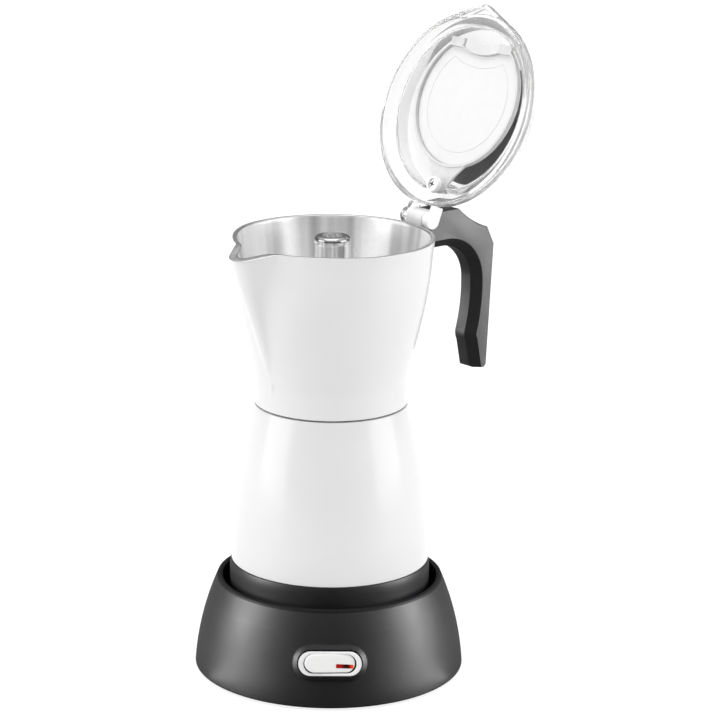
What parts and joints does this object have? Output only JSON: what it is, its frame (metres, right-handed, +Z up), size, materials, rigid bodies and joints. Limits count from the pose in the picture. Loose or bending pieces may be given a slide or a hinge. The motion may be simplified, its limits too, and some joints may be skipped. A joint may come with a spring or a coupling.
{
  "type": "electric moka pot",
  "caption": "White electric moka pot with clear hinged lid and black handle, standing on a round black cordless base with a rocker switch.",
  "frame": {"origin": "centre of the base's underside, on the plane that the feet stand on", "axes": "+Z up along the pot's axis; -Y towards the side with the rocker switch; +X to the right as seen by someone facing the switch"},
  "size_m": [0.1815, 0.1745, 0.3525],
  "materials": {
    "black_plastic": "fine matte texture",
    "white_switch": "semi-gloss",
    "red_lens": "gloss",
    "white_paint": "satin paint",
    "aluminium": "fine turned",
    "steel": "brushed",
    "chrome": "polished",
    "brass": "satin",
    "silicone": "matte",
    "dark_rubber": "matte",
    "clear_plastic": "clear",
    "frosted_plastic": "translucent white",
    "lead_cover": "matte",
    "ceramic": "matte"
  },
  "bodies": {
    "base": {"base_shell": "black_plastic", "base_bottom_cover": "black_plastic", "base_foot_ring": "dark_rubber", "base_cover_screws": "steel", "base_socket": "black_plastic", "socket_contacts": "brass", "rocker_frame": "white_switch", "switch_body": "black_plastic", "switch_terminals": "brass", "terminal_block": "frosted_plastic", "cord_gland": "black_plastic", "base_leads": "lead_cover"},
    "rocker": {"rocker_button": "white_switch", "rocker_lens": "red_lens"},
    "pot_carrier": {"pot_foot_ring": "silicone"},
    "pot": {"boiler": "white_paint", "pot_collar": "black_plastic", "collar_screws": "steel", "pot_connector": "black_plastic", "connector_contacts": "brass", "pot_leads": "lead_cover", "heater_plate": "aluminium", "heating_element": "steel", "thermostat": "steel", "thermal_fuse": "ceramic", "valve_body": "brass", "valve_spring": "steel"},
    "valve_plunger": {"valve_pin": "brass"},
    "coffee_stack": {"funnel": "aluminium", "funnel_strainer": "aluminium", "gasket": "silicone", "filter_plate": "steel"},
    "jug": {"collector": "white_paint", "column_tube": "steel", "column_cap": "chrome", "hinge_pin": "steel", "handle": "black_plastic", "handle_screw": "steel"},
    "lid": {"lid_shell": "clear_plastic", "lid_top_plate": "black_plastic", "lid_disc": "frosted_plastic", "lid_disc_frame": "clear_plastic", "lid_screw": "steel"}
  },
  "joints": [
    {"name": "rocker_tilt", "type": "hinge", "parent": "base", "child": "rocker", "pos_m": [0, -0.06735, 0.0252], "axis": [0, 0.2756, 0.9613], "range_deg": [-12, 0]},
    {"name": "pot_lift", "type": "slide", "parent": "base", "child": "pot_carrier", "axis": [0, 0, 1], "range_m": [0, 0.06]},
    {"name": "pot_turn", "type": "hinge", "parent": "pot_carrier", "child": "pot", "pos_m": [0, 0, 0], "axis": [0, 0, 1], "continuous": true},
    {"name": "valve_blow_off", "type": "slide", "parent": "pot", "child": "valve_plunger", "axis": [-0.6428, 0.766, 0], "range_m": [0, 0.0015], "stiffness_N_per_m": 400, "springref_m": -0.004, "deforming": ["valve_spring"]},
    {"name": "stack_lift", "type": "slide", "parent": "pot", "child": "coffee_stack", "axis": [0, 0, 1], "range_m": [0, 0.0076]},
    {"name": "jug_unscrew", "type": "hinge", "parent": "coffee_stack", "child": "jug", "pos_m": [0, 0, 0.15], "axis": [0, 0, 1], "range_deg": [0, 900]},
    {"name": "lid_hinge", "type": "hinge", "parent": "jug", "child": "lid", "pos_m": [0.04727, 0.03966, 0.24], "axis": [-0.6428, 0.766, 0], "range_deg": [-111.8, 0]}
  ],
  "couplings": [
    {"joint": "stack_lift", "follows": "jug_unscrew", "m_per_rad": 0.00047746}
  ]
}
